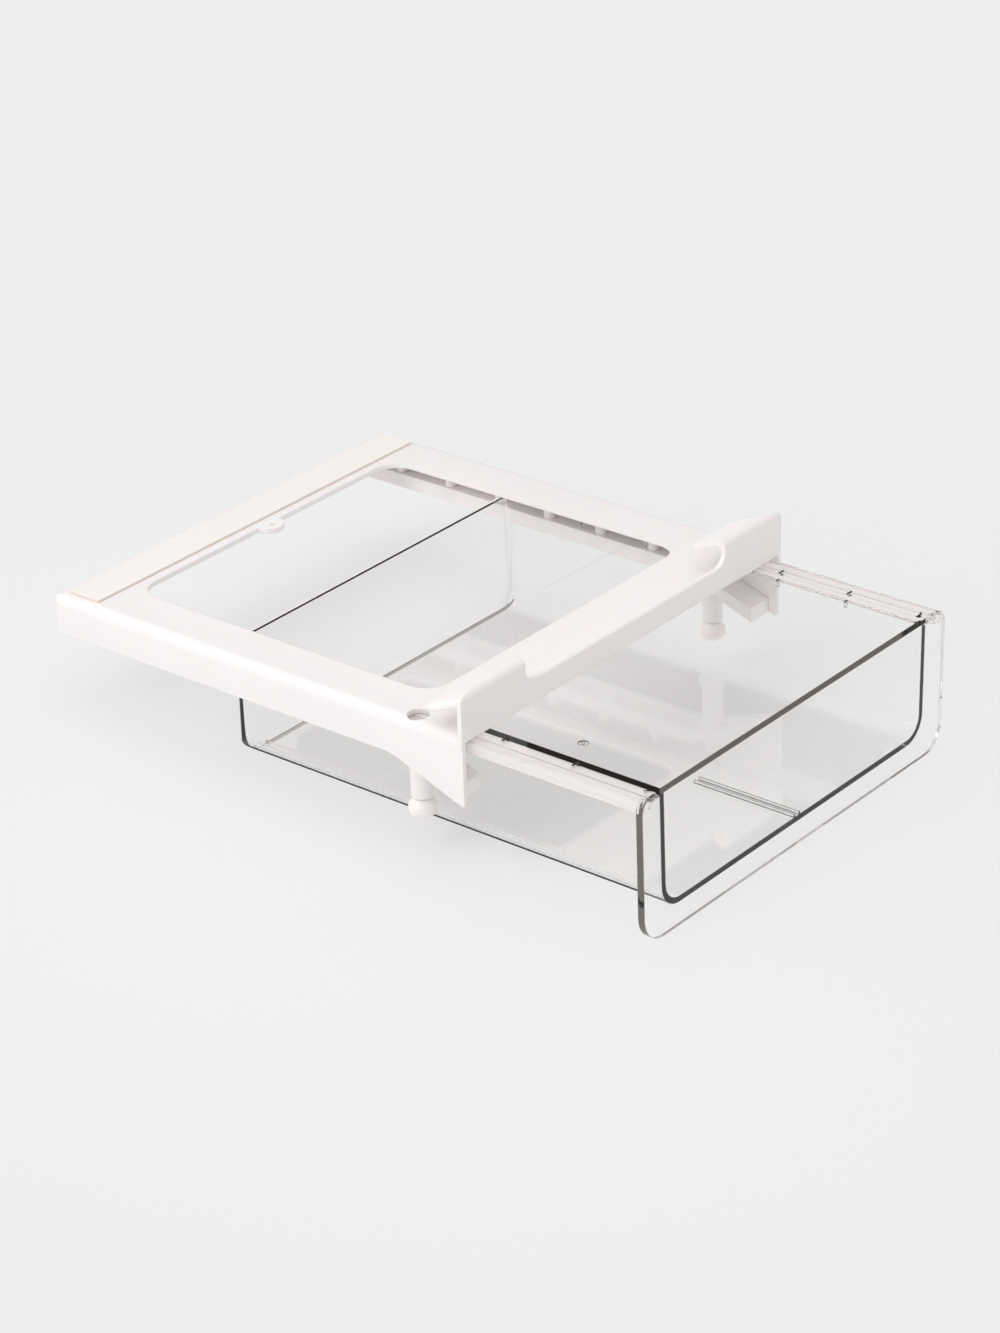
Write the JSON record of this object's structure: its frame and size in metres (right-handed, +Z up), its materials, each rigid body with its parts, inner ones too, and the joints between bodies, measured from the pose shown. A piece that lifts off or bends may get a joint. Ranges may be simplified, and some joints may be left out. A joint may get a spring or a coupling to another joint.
{
  "type": "under-shelf refrigerator drawer",
  "caption": "Under-shelf refrigerator drawer: a white frame with shelf hooks, a window and a tape strip, and a clear drawer that slides on pins in two side rails.",
  "frame": {"origin": "bottom centre of the bounding box, with the drawer pulled out as in the picture", "axes": "+X across the front, to the right as seen from the front; +Y from the front plate to the back; +Z up, towards the shelf"},
  "size_m": [0.206, 0.298, 0.0817],
  "materials": {
    "white_moulding": "glossy warm white injection moulding",
    "clear_moulding": "clear glossy injection moulding",
    "tape_foam": "soft double-sided foam",
    "tape_liner": "smooth cream release liner"
  },
  "bodies": {
    "frame": {"top_frame": "white_moulding", "left_rail": "white_moulding", "right_rail": "white_moulding", "left_glide_pin_1": "white_moulding", "left_glide_pin_2": "white_moulding", "left_glide_pin_3": "white_moulding", "left_glide_pin_4": "white_moulding", "left_glide_pin_5": "white_moulding", "left_glide_pin_6": "white_moulding", "right_glide_pin_1": "white_moulding", "right_glide_pin_2": "white_moulding", "right_glide_pin_3": "white_moulding", "right_glide_pin_4": "white_moulding", "right_glide_pin_5": "white_moulding", "right_glide_pin_6": "white_moulding", "tape_foam": "tape_foam", "tape_liner": "tape_liner"},
    "drawer": {"drawer": "clear_moulding"},
    "left_stop": {"left_stop_pin": "white_moulding"},
    "right_stop": {"right_stop_pin": "white_moulding"}
  },
  "joints": [
    {"name": "drawer_slide", "type": "slide", "parent": "frame", "child": "drawer", "axis": [0, -1, 0], "range_m": [-0.082, 0.096]},
    {"name": "left_stop_pull", "type": "slide", "parent": "frame", "child": "left_stop", "axis": [0, 0, -1], "range_m": [0, 0.006]},
    {"name": "right_stop_pull", "type": "slide", "parent": "frame", "child": "right_stop", "axis": [0, 0, -1], "range_m": [0, 0.006]}
  ]
}
